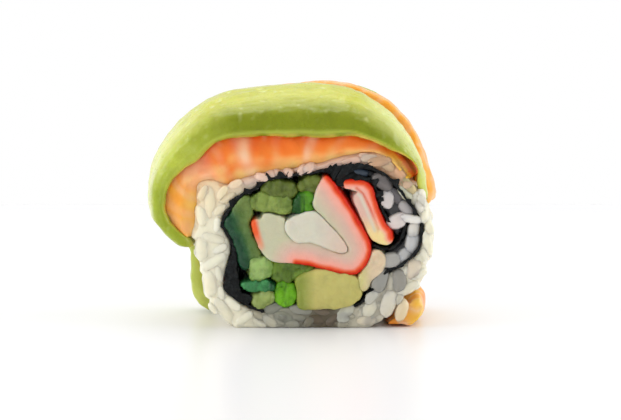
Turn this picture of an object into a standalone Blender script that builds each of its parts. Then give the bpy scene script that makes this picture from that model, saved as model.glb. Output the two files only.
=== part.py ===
"""Uramaki roll: one slice of inside-out sushi.

A rice ring holds a loop of nori round crab stick, cucumber and avocado. Salmon and avocado
slices are draped over the top. Metres, +Z up: X runs across the cut face, Y along the roll's
own axis with the front cut at -Y, and Z = 0 is the flat underside of the rice.

Outlines of the cut face are (x, z) points in millimetres, and a smooth curve runs through them.
"""

import math

import bmesh
import bpy
import numpy as np
from mathutils import Vector, geometry, noise

MM = 0.001

# Driving dimensions, metres.
ROLL_LENGTH = 0.027
GAP = 0.0003
NORI_THICKNESS = 0.0005
GRAIN_LENGTH = 0.0075
GRAIN_RELIEF = 0.0008
DRAPE_GAP = 0.0005
LEAST_LAYER = 0.0009
EDGE_ROUNDING = 0.25
AXIS_X = 0.001
AXIS_Z = 0.017

# How far each layer rises above its cut-face outline, halfway along the roll, at the very top.
RICE_RISE = 0.0028
SALMON_RISE = 0.0036
AVOCADO_RISE = 0.0050

# The fillings turn about the roll's axis along its length, less and less towards the rice.
TWIST = math.radians(8)
TWIST_REACH_X = 0.021
TWIST_REACH_Z = 0.0165

FRONT = -ROLL_LENGTH / 2
BACK = ROLL_LENGTH / 2

# How finely each shape is divided.
CURVE_STEPS = 2
FILLING_STRETCHES = 2
RICE_STRETCHES = 8
SLICE_STRETCHES = 4
SLICE_LAYERS = 2
SHARP_ANGLE = math.radians(40)


# Scene: the collection of parts, the collection of cutters, and the materials.

for old in list(bpy.data.objects):
    bpy.data.objects.remove(old, do_unlink=True)

roll = bpy.data.collections.new("uramaki_roll")
bpy.context.scene.collection.children.link(roll)
helpers = bpy.data.collections.new("uramaki_roll_helpers")
bpy.context.scene.collection.children.link(helpers)


def food(name, color, roughness):
    material = bpy.data.materials.new(name)
    material.use_nodes = True
    shader = material.node_tree.nodes["Principled BSDF"]
    shader.inputs["Base Color"].default_value = (*color, 1)
    shader.inputs["Roughness"].default_value = roughness
    shader.inputs["Metallic"].default_value = 0
    return material


RICE = food("rice", (0.82, 0.77, 0.62), 0.45)
NORI = food("nori", (0.012, 0.018, 0.016), 0.4)
CRAB = food("crab_stick", (0.85, 0.62, 0.52), 0.4)
CUCUMBER = food("cucumber", (0.16, 0.28, 0.06), 0.35)
LEAF = food("leaf", (0.05, 0.24, 0.03), 0.4)
AVOCADO = food("avocado", (0.55, 0.62, 0.14), 0.4)
SALMON = food("salmon", (0.85, 0.22, 0.05), 0.35)


# Curves of the cut face.


def smooth(points, closed=True):
    """A smooth curve through (x, z) points in millimetres, as points in metres."""
    knots = [Vector(point) * MM for point in points]
    count = len(knots)

    def knot(index):
        return knots[index % count] if closed else knots[min(max(index, 0), count - 1)]

    curve = []
    for index in range(count if closed else count - 1):
        before, start, end, after = (knot(index + shift) for shift in (-1, 0, 1, 2))
        handle = start + (end - before) / 6
        other = end - (after - start) / 6
        curve += geometry.interpolate_bezier(start, handle, other, end, CURVE_STEPS + 1)[:-1]
    return curve if closed else curve + knots[-1:]


def beside(curve, distance):
    """A closed curve moved sideways, to the left of its direction of travel."""
    moved = []
    for before, point, after in zip(curve[-1:] + curve[:-1], curve, curve[1:] + curve[:1]):
        along = (after - before).normalized()
        moved.append(point + Vector((-along.y, along.x)) * distance)
    return moved


def twisted(point):
    """A point of the fillings after the roll's twist, which is nothing at the front cut."""
    across = (point.x - AXIS_X) / TWIST_REACH_X
    up = (point.z - AXIS_Z) / TWIST_REACH_Z
    depth = min(max((point.y - FRONT) / ROLL_LENGTH, 0), 1)
    angle = TWIST * depth * max(0, 1 - across**2 - up**2)
    turned_x = across * math.cos(angle) - up * math.sin(angle)
    turned_z = across * math.sin(angle) + up * math.cos(angle)
    return Vector((AXIS_X + turned_x * TWIST_REACH_X, point.y, AXIS_Z + turned_z * TWIST_REACH_Z))


# Solids that run along the roll.


def extruded(loops, front, back, closed=True):
    """A bmesh of flat loops, extruded along Y from front to back and filled when closed."""
    curve = bpy.data.curves.new("outline", "CURVE")
    curve.dimensions = "2D"
    curve.fill_mode = "BOTH"
    curve.extrude = (back - front) / 2
    for loop in loops:
        spline = curve.splines.new("POLY")
        spline.points.add(len(loop) - 1)
        spline.use_cyclic_u = closed
        for point, at in zip(spline.points, loop):
            point.co = (at.x, at.y, 0, 1)
    holder = bpy.data.objects.new("outline", curve)
    helpers.objects.link(holder)
    holder.rotation_euler.x = math.pi / 2
    holder.location.y = (front + back) / 2
    bpy.context.view_layer.update()
    graph = bpy.context.evaluated_depsgraph_get()
    shape = bpy.data.meshes.new_from_object(holder.evaluated_get(graph))
    bm = bmesh.new()
    bm.from_mesh(shape)
    bmesh.ops.transform(bm, matrix=holder.matrix_world, verts=bm.verts)
    bmesh.ops.remove_doubles(bm, verts=bm.verts, dist=MM / 1000)
    bpy.data.meshes.remove(shape)
    bpy.data.objects.remove(holder)
    bpy.data.curves.remove(curve)
    return bm


def cut_across(bm, stations):
    """Cuts every face where it crosses one of the stations along Y."""
    for station in stations:
        bmesh.ops.bisect_plane(
            bm,
            geom=bm.verts[:] + bm.edges[:] + bm.faces[:],
            plane_co=(0, station, 0),
            plane_no=(0, 1, 0),
        )


def along_roll(count):
    """Stations that divide the roll's length into equal stretches."""
    return [FRONT + ROLL_LENGTH * step / count for step in range(1, count)]


def placed(name, bm, material, collection=roll):
    """Ends a bmesh as a named object with outward faces and its own material."""
    bm.normal_update()
    bmesh.ops.recalc_face_normals(bm, faces=bm.faces)
    mesh = bpy.data.meshes.new(name)
    bm.to_mesh(mesh)
    bm.free()
    mesh.materials.append(material)
    mesh.shade_smooth()
    mesh.set_sharp_from_angle(angle=SHARP_ANGLE)
    part = bpy.data.objects.new(name, mesh)
    collection.objects.link(part)
    return part


def filling(name, material, outline, proud=0.0, collection=roll):
    """A filling that runs through the roll and stands proud of both cuts by this many mm."""
    bm = extruded([smooth(outline)], FRONT - proud * MM, BACK + proud * MM)
    cut_across(bm, along_roll(FILLING_STRETCHES))
    for vertex in bm.verts:
        vertex.co = twisted(vertex.co)
    return placed(name, bm, material, collection)


def sheet(name, path, proud=0.0):
    """A strip of nori along an open path of the cut face."""
    bm = extruded([smooth(path, closed=False)], FRONT - proud * MM, BACK + proud * MM, False)
    cut_across(bm, along_roll(FILLING_STRETCHES))
    for vertex in bm.verts:
        vertex.co = twisted(vertex.co)
    part = placed(name, bm, NORI)
    thickness = part.modifiers.new("thickness", "SOLIDIFY")
    thickness.thickness = NORI_THICKNESS
    thickness.offset = 0
    thickness.use_even_offset = True
    return part


# Nori: the loop that closes on the fillings, its doubled fold at the left, and two inner strips.

NORI_LOOP = [
    (24.6, 20.2), (24.3, 18.2), (24.0, 16.0), (22.8, 13.9), (20.6, 12.3), (17.8, 10.7),
    (15.8, 9.1), (14.8, 7.2), (13.2, 5.3), (10.8, 3.9), (7.5, 3.3), (3.5, 3.3), (-0.5, 3.4),
    (-4.5, 3.4), (-7.4, 3.8), (-9.4, 4.7), (-11.3, 6.1), (-12.7, 7.3), (-12.9, 9.2),
    (-12.5, 11.7), (-11.8, 14.2), (-11.7, 16.3), (-12.5, 18.0), (-13.3, 19.6), (-13.2, 21.4),
    (-11.9, 23.0), (-10.9, 24.6), (-9.6, 25.8), (-7.9, 26.5), (-6.4, 27.8), (-4.6, 28.8),
    (-2.4, 28.9), (-0.6, 29.4), (1.6, 29.7), (3.6, 29.8), (5.4, 30.3), (7.4, 30.7),
    (9.6, 31.1), (11.9, 31.5), (13.9, 30.9), (16.0, 30.3), (18.0, 29.1), (19.8, 27.1),
    (21.6, 24.9), (22.9, 22.9), (23.4, 21.7),
]  # fmt: skip
NORI_DOUBLED = [
    (-12.7, 7.6), (-11.2, 6.3), (-9.4, 4.9), (-8.3, 4.9), (-8.0, 5.9), (-8.9, 6.6), (-9.9, 6.8),
    (-10.4, 8.4), (-10.7, 10.5), (-10.7, 12.6), (-11.0, 14.6), (-11.6, 16.0), (-11.9, 14.2),
    (-12.6, 11.7), (-12.9, 9.4),
]  # fmt: skip
NORI_INNER = [
    (8.4, 29.5), (10.2, 29.3), (12.4, 29.0), (14.4, 28.6), (15.5, 27.4), (16.0, 25.8),
    (16.6, 24.0), (17.3, 22.0), (18.3, 20.2),
]  # fmt: skip
NORI_FOLD = [
    (15.1, 15.9), (16.7, 15.4), (18.4, 15.3), (19.8, 16.1), (20.6, 17.5), (21.1, 19.0),
    (21.6, 20.2),
]  # fmt: skip

nori_loop = sheet("nori_loop", NORI_LOOP, proud=0.3)
doubled = filling("nori_doubled", NORI, NORI_DOUBLED, proud=0.4, collection=helpers)
doubled.hide_render = True
doubled.display_type = "WIRE"
joined = nori_loop.modifiers.new("doubled", "BOOLEAN")
joined.operation = "UNION"
joined.object = doubled
sheet("nori_inner", NORI_INNER, proud=0.2)
sheet("nori_fold", NORI_FOLD, proud=-0.2)


# Rice: the outer ring, and the crescent between the nori loop and the inner strips.

RICE_OUTER = [
    (-11.5, 0.0), (-14.0, 1.8), (-17.0, 4.6), (-18.1, 8.6), (-19.0, 12.4), (-19.9, 16.2),
    (-19.2, 20.0), (-18.6, 24.0), (-18.2, 27.4), (-15.6, 28.3), (-12.8, 27.4), (-10.2, 28.2),
    (-7.0, 29.1), (-2.4, 30.0), (2.0, 30.8), (6.5, 31.9), (11.0, 33.0), (15.5, 33.6),
    (19.0, 32.2), (21.8, 29.0), (23.6, 26.4), (25.6, 23.4), (26.3, 19.4), (26.3, 15.4),
    (25.8, 10.6), (24.6, 7.6), (22.0, 6.0), (19.6, 3.4), (16.6, 0.9), (15.0, 0.0), (12.0, 0.0),
    (6.0, 0.0), (-3.0, 0.0), (-9.0, 0.0),
]  # fmt: skip
RICE_INNER = [
    (10.0, 30.2), (12.0, 30.7), (14.2, 30.0), (16.4, 29.1), (18.6, 27.0), (20.7, 24.4),
    (22.3, 21.9), (23.5, 20.4), (23.6, 18.2), (23.2, 16.4), (21.9, 14.4), (19.8, 12.8),
    (17.9, 11.8), (17.7, 13.4), (18.4, 14.5), (20.2, 15.3), (21.4, 17.2), (21.9, 19.2),
    (22.2, 20.6), (21.4, 21.0), (20.6, 19.6), (20.0, 17.8), (19.4, 18.6), (18.6, 20.8),
    (17.8, 22.4), (17.0, 24.4), (16.4, 26.6), (15.6, 28.5), (13.4, 29.5), (11.6, 29.8),
]  # fmt: skip


def arch(angle):
    """How much of a layer's rise shows in this direction: all of it at the top, none below."""
    return max(0, math.sin(angle))


def dome(y):
    """How much of a layer's rise shows at this place along the roll: none at the cuts."""
    return 1 - (2 * y / ROLL_LENGTH) ** 2


def polar(point):
    """Direction and distance of an (x, z) point from the roll's axis, turning by the top."""
    offset = point - Vector((AXIS_X, AXIS_Z))
    return math.atan2(offset.y, offset.x) % (2 * math.pi), offset.length


class Layer:
    """The outside of a layer: a distance from the roll's axis for a direction and a depth."""

    def __init__(self, curve, rise, beneath=None):
        pairs = sorted(polar(point) for point in curve)
        self.angles = [angle for angle, _ in pairs]
        self.distances = [distance for _, distance in pairs]
        self.rise = rise
        self.beneath = beneath

    def distance(self, angle, y):
        base = np.interp(angle, self.angles, self.distances, period=2 * math.pi)
        own = float(base) + self.rise * arch(angle) * dome(y)
        if self.beneath is None:
            return own
        return max(own, self.beneath.distance(angle, y) + LEAST_LAYER)

    def point(self, angle, y, extra=0.0):
        distance = self.distance(angle, y) + extra
        return Vector((AXIS_X + distance * math.cos(angle), y, AXIS_Z + distance * math.sin(angle)))


rice_curve = [Vector((point.x, max(point.y, 0))) for point in smooth(RICE_OUTER)]
rice_top = Layer(rice_curve, RICE_RISE)


def rice_ring():
    """The ring's outside is uneven at the size of a grain, and its underside is flat."""
    cavity = beside(smooth(NORI_LOOP), NORI_THICKNESS / 2 + GAP)
    bm = extruded([rice_curve, cavity], FRONT, BACK)
    outside = {(round(point.x, 6), round(point.y, 6)) for point in rice_curve}
    cut_across(bm, along_roll(RICE_STRETCHES))
    for vertex in bm.verts:
        at = vertex.co
        if (round(at.x, 6), round(at.z, 6)) not in outside:
            vertex.co = twisted(at)
        elif at.z > 0:
            angle, _ = polar(at.xz)
            relief = GRAIN_RELIEF * (0.5 + 0.5 * noise.noise(at / (GRAIN_LENGTH / 2)))
            relief *= min(1, at.z / GRAIN_LENGTH)
            vertex.co = rice_top.point(angle, at.y, -relief)
    return placed("rice_ring", bm, RICE)


rice_ring()
filling("rice_crescent", RICE, RICE_INNER, proud=-0.3)


# Crab stick: a large folded piece round its own inner lobe, and a small folded piece.

CRAB_LARGE = [
    (6.3, 29.2), (7.7, 27.6), (9.7, 24.7), (11.5, 22.0), (13.0, 19.4), (14.2, 17.0),
    (14.6, 15.2), (14.2, 13.3), (13.2, 11.7), (11.9, 10.7), (9.6, 10.6), (6.5, 11.4),
    (3.0, 12.3), (-0.5, 12.8), (-3.6, 13.0), (-5.0, 13.8), (-6.4, 15.6), (-7.2, 17.9),
    (-7.8, 20.2), (-7.1, 20.9), (-6.1, 20.9), (-5.5, 21.9), (-3.8, 21.7), (-1.9, 21.1),
    (-1.8, 19.9), (-1.7, 18.7), (-1.1, 17.6), (-0.2, 16.7), (1.0, 16.3), (3.0, 16.4),
    (5.2, 15.7), (7.5, 14.7), (9.4, 14.2), (10.7, 15.0), (10.0, 16.7), (8.3, 18.8),
    (6.3, 21.1), (4.5, 22.8), (3.9, 23.9), (4.3, 25.8), (5.2, 27.8),
]  # fmt: skip
CRAB_LOBE = [
    (-1.4, 20.2), (-1.3, 18.9), (-0.7, 17.8), (0.2, 17.0), (1.2, 16.7), (3.1, 16.8),
    (5.4, 16.1), (7.7, 15.1), (9.2, 14.7), (10.1, 15.2), (9.4, 16.6), (7.7, 18.6),
    (5.8, 20.7), (4.1, 22.2), (2.9, 22.2), (1.3, 21.8), (-0.3, 21.1),
]  # fmt: skip
CRAB_SMALL = [
    (10.0, 28.4), (11.8, 28.3), (13.8, 28.0), (14.8, 27.0), (15.3, 25.5), (15.8, 23.8),
    (16.5, 21.9), (17.4, 20.0), (18.4, 18.8), (18.8, 17.5), (18.3, 16.5), (17.1, 16.3),
    (15.8, 16.8), (14.8, 17.6), (14.2, 18.9), (13.4, 20.6), (12.5, 22.6), (11.6, 24.4),
    (11.7, 25.5), (12.6, 26.1), (11.4, 26.8), (9.8, 27.2),
]  # fmt: skip

filling("crab_large", CRAB, CRAB_LARGE, proud=0.5)
filling("crab_lobe", CRAB, CRAB_LOBE, proud=0.7)
filling("crab_small", CRAB, CRAB_SMALL, proud=0.3)


# Cucumber sticks, leaves and the avocado inside the nori, from the top round to the right foot.

GREENS = {
    "cucumber_upper": (CUCUMBER, -0.2, [
        (-5.2, 27.6), (-3.9, 28.1), (-2.0, 28.0), (-0.3, 27.5), (0.4, 26.6), (0.0, 25.6),
        (-2.2, 25.3), (-4.4, 25.6), (-5.7, 26.4),
    ]),
    "cucumber_middle": (CUCUMBER, 0.1, [
        (-7.9, 24.2), (-7.0, 25.2), (-5.9, 25.6), (-4.0, 25.1), (-2.0, 24.8), (-0.7, 24.8),
        (-0.6, 23.6), (-1.0, 22.4), (-2.6, 22.4), (-4.2, 22.6), (-6.0, 22.7), (-7.4, 23.1),
    ]),
    "cucumber_tip": (CUCUMBER, -0.5, [
        (1.3, 27.2), (2.1, 28.5), (3.6, 28.9), (4.9, 28.6), (4.4, 27.1), (3.6, 26.2), (2.2, 26.2),
    ]),
    "leaf_stick": (LEAF, 0.0, [
        (0.7, 25.2), (1.5, 25.8), (2.9, 25.7), (3.4, 25.2), (3.1, 24.0), (3.3, 22.8), (1.4, 22.3),
        (0.1, 22.2), (-0.2, 23.4), (0.2, 24.5),
    ]),
    "cucumber_skin": (CUCUMBER, 0.2, [
        (-12.6, 20.8), (-11.5, 22.3), (-10.6, 23.6), (-9.7, 24.9), (-8.7, 25.0), (-8.3, 23.6),
        (-8.3, 21.8), (-8.8, 20.0), (-8.3, 18.2), (-7.5, 16.3), (-6.6, 14.7), (-6.9, 14.0),
        (-8.2, 13.3), (-8.8, 12.2), (-9.6, 11.8), (-10.2, 12.8), (-10.5, 14.6), (-11.1, 16.8),
        (-11.9, 18.2), (-12.7, 19.6),
    ]),
    "cucumber_pale": (CUCUMBER, 0.2, [
        (-7.9, 12.9), (-6.7, 13.6), (-5.5, 13.3), (-4.5, 12.6), (-4.4, 11.2), (-4.9, 10.1),
        (-5.9, 9.5), (-7.0, 9.3), (-7.9, 10.0), (-8.3, 11.4),
    ]),
    "cucumber_olive": (CUCUMBER, -0.1, [
        (-4.0, 12.0), (-3.0, 12.6), (-1.2, 12.4), (0.8, 12.3), (2.9, 11.8), (3.7, 11.3),
        (2.2, 10.7), (0.6, 9.9), (-0.8, 9.4), (-2.6, 9.2), (-3.9, 9.6), (-4.1, 10.8),
    ]),
    "leaf_dark": (LEAF, 0.5, [
        (-9.8, 8.4), (-8.4, 8.9), (-6.8, 8.7), (-5.2, 9.1), (-4.0, 8.4), (-4.1, 7.6),
        (-5.4, 7.2), (-7.2, 7.3), (-9.0, 7.5),
    ]),
    "cucumber_low": (CUCUMBER, -0.2, [
        (-7.6, 5.8), (-6.4, 6.7), (-4.8, 6.7), (-3.9, 6.0), (-4.4, 4.9), (-5.8, 4.2),
        (-7.2, 4.5),
    ]),
    "leaf_bright": (LEAF, 0.2, [
        (-2.6, 4.3), (-3.4, 5.8), (-3.4, 7.4), (-2.5, 8.6), (-1.0, 8.7), (0.1, 7.9),
        (0.4, 6.4), (-0.2, 4.8), (-1.3, 4.2),
    ]),
    "avocado_filling": (AVOCADO, 0.4, [
        (1.2, 4.2), (0.9, 6.4), (0.6, 8.2), (0.7, 9.4), (2.4, 10.3), (4.2, 11.1), (6.2, 10.8),
        (8.2, 10.2), (10.0, 10.1), (11.6, 9.9), (12.3, 8.6), (12.8, 7.0), (12.2, 5.9),
        (10.4, 4.7), (8.0, 4.1), (5.6, 4.2), (3.2, 4.1),
    ]),
    "avocado_stick": (AVOCADO, 0.3, [
        (12.7, 9.4), (13.2, 10.8), (14.4, 12.2), (15.0, 13.7), (15.7, 14.6), (16.6, 14.4),
        (17.2, 13.3), (16.9, 11.9), (16.0, 10.7), (14.9, 9.7), (14.2, 8.4), (13.5, 7.4),
        (13.0, 8.2),
    ]),
}  # fmt: skip

for name, (material, proud, outline) in GREENS.items():
    filling(name, material, outline, proud)


# Toppings: slices laid over the rice, each bent out of one box.

SALMON_OUTER = [
    (24.8, 25.4), (23.6, 28.4), (22.0, 30.4), (19.4, 33.6), (17.2, 35.2), (14.0, 36.5),
    (10.0, 37.2), (4.0, 36.8), (-2.0, 37.0), (-8.0, 37.4), (-13.0, 37.0), (-16.0, 35.2),
    (-19.0, 32.6), (-22.0, 30.2), (-24.4, 27.6), (-25.0, 24.4), (-24.6, 21.2), (-23.3, 19.0),
    (-21.3, 17.6), (-20.4, 16.2), (-19.5, 12.5), (-18.7, 8.6), (-17.6, 4.6), (-14.6, 1.6),
]  # fmt: skip
AVOCADO_OUTER = [
    (25.8, 24.4), (25.2, 27.0), (23.4, 31.0), (21.0, 34.4), (18.0, 37.4), (14.0, 39.6),
    (10.0, 41.3), (4.0, 41.7), (-3.0, 41.3), (-10.0, 41.0), (-14.0, 40.2), (-18.0, 38.2),
    (-22.0, 35.0), (-24.8, 31.6), (-26.6, 27.4), (-27.2, 23.8), (-27.1, 20.8), (-25.4, 19.0),
    (-23.6, 17.0), (-22.2, 15.7), (-21.0, 15.2),
]  # fmt: skip
BAND_OUTER = [
    (27.4, 22.2), (26.5, 26.4), (25.0, 30.0), (23.2, 34.2), (21.0, 37.4), (17.2, 40.9),
    (11.6, 43.2), (6.0, 44.0), (0.0, 43.4), (-8.0, 42.0),
]  # fmt: skip
REAR_OUTER = [
    (24.0, 34.0), (21.0, 38.4), (15.4, 43.2), (9.2, 44.6), (2.0, 44.2), (-6.0, 42.6),
    (-14.0, 39.8), (-20.0, 35.4), (-24.4, 29.0), (-25.2, 23.0), (-23.8, 17.0), (-22.0, 12.2),
    (-21.8, 8.6), (-20.9, 4.8), (-19.4, 2.2), (-17.0, 0.4),
]  # fmt: skip

salmon_top = Layer(smooth(SALMON_OUTER, closed=False), SALMON_RISE, rice_top)
avocado_top = Layer(smooth(AVOCADO_OUTER, closed=False), AVOCADO_RISE, salmon_top)
band_top = Layer(smooth(BAND_OUTER, closed=False), RICE_RISE, salmon_top)
rear_top = Layer(smooth(REAR_OUTER, closed=False), RICE_RISE, salmon_top)


def along(table, angle):
    """Reads a table of (degrees round the roll, millimetres) at an angle."""
    degrees, values = zip(*table)
    return float(np.interp(math.degrees(angle), degrees, values)) * MM


def draped(name, material, under, over, start, end, front, back, rings=28):
    """A slice bent out of a box: u runs over the roll, v along it and w through the slice."""
    bm = bmesh.new()
    bmesh.ops.create_cube(bm, size=2)
    counts = (rings, SLICE_STRETCHES, SLICE_LAYERS)
    for axis, count in zip((Vector((1, 0, 0)), Vector((0, 1, 0)), Vector((0, 0, 1))), counts):
        for step in range(1, count):
            bmesh.ops.bisect_plane(
                bm,
                geom=bm.verts[:] + bm.edges[:] + bm.faces[:],
                plane_co=axis * (2 * step / count - 1),
                plane_no=axis,
            )
    for vertex in bm.verts:
        u, v, w = vertex.co
        angle = math.radians(start + (end - start) * (u + 1) / 2)
        across = v * math.sqrt(1 - EDGE_ROUNDING * w * w)
        through = w * math.sqrt(1 - EDGE_ROUNDING * v * v)
        y = along(front, angle) * (1 - across) / 2 + along(back, angle) * (1 + across) / 2
        low = under.distance(angle, y) + DRAPE_GAP
        distance = low + (over.distance(angle, y) - low) * (through + 1) / 2
        vertex.co = (AXIS_X + distance * math.cos(angle), y, AXIS_Z + distance * math.sin(angle))
    return placed(name, bm, material)


draped(
    "salmon_slice", SALMON, rice_top, salmon_top, 28, 179,
    front=[(28, -13.2), (60, -13.8), (179, -13.8)],
    back=[(28, 13.0), (60, 13.6), (179, 13.6)],
)  # fmt: skip
draped(
    "avocado_front", AVOCADO, salmon_top, avocado_top, 17, 184.5,
    front=[(17, -12.4), (30, -13.6), (60, -14.1), (184.5, -14.1)],
    back=[(17, -9.8), (24, -9.4), (40, -6.0), (65, -2.0), (90, 1.0), (184.5, 3.0)],
)  # fmt: skip
draped(
    "salmon_band", SALMON, salmon_top, band_top, 14, 120,
    front=[(14, -9.0), (24, -8.8), (40, -5.5), (65, -1.5), (90, 1.5), (120, 2.4)],
    back=[(14, 5.0), (60, 8.0), (120, 5.0)],
)  # fmt: skip
draped(
    "avocado_rear", AVOCADO, salmon_top, rear_top, 36, 223,
    front=[(36, 8.0), (60, 8.6), (120, 5.6), (130, 4.0), (223, 4.0)],
    back=[(36, 12.8), (60, 13.9), (160, 13.9), (223, 11.0)],
    rings=30,
)  # fmt: skip


# The end of a salmon slice tucked under the rice at the right foot.

SALMON_FOOT = [
    (17.9, 0.5), (19.6, 2.3), (21.4, 4.3), (23.6, 5.9), (24.7, 5.4), (24.9, 3.4), (24.0, 1.4),
    (22.2, 0.35), (20.0, 0.35),
]  # fmt: skip

filling("salmon_foot", SALMON, SALMON_FOOT, proud=-1.2)
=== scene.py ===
"""Uramaki roll, dressed: seaweed, crab stick, greens, avocado, rice and salmon on the CAD frame.

Metres, +Z up: X runs across the cut face, Y along the roll with the front cut at -Y.
"""

import math

import bmesh
import bpy
import numpy as np
from mathutils import Matrix, Vector, bvhtree, noise


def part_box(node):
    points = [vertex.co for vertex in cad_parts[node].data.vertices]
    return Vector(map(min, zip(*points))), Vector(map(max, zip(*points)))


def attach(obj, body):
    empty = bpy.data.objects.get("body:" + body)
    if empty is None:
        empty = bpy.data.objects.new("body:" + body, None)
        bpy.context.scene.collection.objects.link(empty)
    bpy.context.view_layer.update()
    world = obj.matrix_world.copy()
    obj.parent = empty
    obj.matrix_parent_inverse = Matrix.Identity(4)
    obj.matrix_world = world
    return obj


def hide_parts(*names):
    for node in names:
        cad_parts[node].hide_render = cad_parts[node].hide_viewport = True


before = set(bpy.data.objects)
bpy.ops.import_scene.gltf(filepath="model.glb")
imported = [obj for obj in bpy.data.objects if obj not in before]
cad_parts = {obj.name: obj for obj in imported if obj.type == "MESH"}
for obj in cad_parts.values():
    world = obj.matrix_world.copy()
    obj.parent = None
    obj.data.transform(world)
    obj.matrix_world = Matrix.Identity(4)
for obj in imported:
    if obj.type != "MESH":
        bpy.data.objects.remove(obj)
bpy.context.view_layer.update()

MM = 0.001
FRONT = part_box("rice_ring")[0][1]
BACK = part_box("rice_ring")[1][1]


# Nori. One sheet of toasted seaweed, pressed from chopped leaf and rolled once round the
# fillings, with two strips folded inwards. The knife tears it, so both of its rims are ragged.

NORI_STEP = 0.55 * MM
NORI_SLIVER = 0.01 * MM
NORI_STATIONS = (0.3, 0.7, 1.3, 2.2, 3.5, 6.0, 9.0)
NORI_TEAR = 0.6 * MM
NORI_TEAR_SIZE = 0.8 * MM
NORI_TEAR_DEPTH = 1.6 * MM
NORI_CRUMPLE = 0.2 * MM
NORI_CRUMPLE_SIZE = 2.4 * MM
NORI_EDGE = 0.3 * MM
NORI_SPIKE = 4 * MM
NORI_SPIKE_MOST = 1.0 * MM
NORI_SPIKE_SIZE = 0.85 * MM
NORI_SPIKE_FROM = 0.12
NORI_SPIKE_RISE = (20, 6, 0.15)
NORI_TUCK = 1.7 * MM
NORI_TUCK_BELOW = 5.2 * MM
NORI_TUCK_MIDDLE, NORI_TUCK_REACH = 3, 9
NORI_BUCKLE = np.array((9.9, 30.4)) * MM
NORI_BUCKLE_REACH = 2.3 * MM
NORI_BUCKLE_DEPTH = 3.2 * MM

# The fillings and the sheet go round this axis, which runs along the roll.
AXIS = np.array((1.0, 17.0)) * MM


def tone(red, green, blue):
    """A colour in 0 to 255 steps of screen brightness, as the linear numbers of a shader."""
    steps = np.array((red, green, blue)) / 255
    return ((steps + 0.055) / 1.055) ** 2.4


def merged_copy(node):
    """A bmesh of a CAD node's shape, with its corners merged."""
    bm = bmesh.new()
    bm.from_mesh(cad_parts[node].data)
    bmesh.ops.remove_doubles(bm, verts=bm.verts, dist=MM / 1000)
    return bm


def diced(bm, axis, stations):
    """Cuts every face where it crosses one of the stations along an axis."""
    normal = Vector((0, 0, 0))
    normal[axis] = 1
    for station in stations:
        bmesh.ops.bisect_plane(
            bm, geom=bm.verts[:] + bm.edges[:] + bm.faces[:], plane_co=normal * station, plane_no=normal
        )


def lumps(points, size, seed=0):
    """Smooth noise from -1 to 1 at each point. Size is one number, or one for each axis."""
    shift = Vector((seed * 5.3, seed * 9.1, seed * 3.7))
    return np.array([noise.noise(Vector(point) + shift) for point in points / size])


def arrays(mesh):
    """The points and the outward directions of a mesh."""
    points = np.empty(len(mesh.vertices) * 3)
    normals = np.empty(len(mesh.vertices) * 3)
    mesh.vertices.foreach_get("co", points)
    mesh.vertices.foreach_get("normal", normals)
    return points.reshape(-1, 3), normals.reshape(-1, 3)


def moved(mesh, points):
    """Puts the points back into their mesh."""
    mesh.vertices.foreach_set("co", points.ravel())
    mesh.update()


def painted(mesh, tones):
    """Gives every point its own tone, which the material then mottles."""
    colors = np.ones((len(mesh.vertices), 4))
    colors[:, :3] = tones
    attribute = mesh.color_attributes.new("tone", "FLOAT_COLOR", "POINT")
    attribute.data.foreach_set("color", colors.ravel())


def served(name, mesh, material, slot, *nodes):
    """Ends a mesh as a piece of the roll that stands for its CAD nodes."""
    mesh.materials.clear()
    mesh.materials.append(material)
    mesh.shade_smooth()
    piece = bpy.data.objects.new(name, mesh)
    bpy.context.scene.collection.objects.link(piece)
    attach(piece, "root")
    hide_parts(*nodes)
    return piece


def shader_of(material, **sockets):
    """The Principled shader of a new material, with its constant sockets set."""
    material.use_nodes = True
    shader = material.node_tree.nodes["Principled BSDF"]
    for socket, value in sockets.items():
        shader.inputs[socket.replace("_", " ")].default_value = value
    return shader


def texture(material, size, detail=3.0, stretch=(1, 1, 1), distortion=0.0):
    """The factor of a noise texture with lumps of that size in the piece's own space."""
    nodes, links = material.node_tree.nodes, material.node_tree.links
    place = nodes.new("ShaderNodeTexCoord")
    scale = nodes.new("ShaderNodeMapping")
    scale.inputs["Scale"].default_value = [1 / (size * part) for part in stretch]
    pattern = nodes.new("ShaderNodeTexNoise")
    pattern.inputs["Scale"].default_value = 1
    pattern.inputs["Detail"].default_value = detail
    pattern.inputs["Distortion"].default_value = distortion
    links.new(place.outputs["Object"], scale.inputs["Vector"])
    links.new(scale.outputs["Vector"], pattern.inputs["Vector"])
    return pattern.outputs["Fac"]


def ramp(material, factor, *stops):
    """A colour ramp through (position, linear colour) stops."""
    made = material.node_tree.nodes.new("ShaderNodeValToRGB")
    elements = made.color_ramp.elements
    while len(elements) < len(stops):
        elements.new(0.5)
    for element, (position, color) in zip(elements, stops):
        element.position = position
        element.color = (*color, 1)
    material.node_tree.links.new(factor, made.inputs["Fac"])
    return made.outputs["Color"]


def blended(material, mode, amount, first, second):
    """Two colour sockets mixed by a fixed amount."""
    mix = material.node_tree.nodes.new("ShaderNodeMix")
    mix.data_type = "RGBA"
    mix.blend_type = mode
    mix.inputs["Factor"].default_value = amount
    material.node_tree.links.new(first, mix.inputs["A"])
    material.node_tree.links.new(second, mix.inputs["B"])
    return mix.outputs["Result"]


def ranged(material, factor, low, high):
    """A factor spread over low to high."""
    spread = material.node_tree.nodes.new("ShaderNodeMapRange")
    spread.inputs["To Min"].default_value = low
    spread.inputs["To Max"].default_value = high
    material.node_tree.links.new(factor, spread.inputs["Value"])
    return spread.outputs["Result"]


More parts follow.
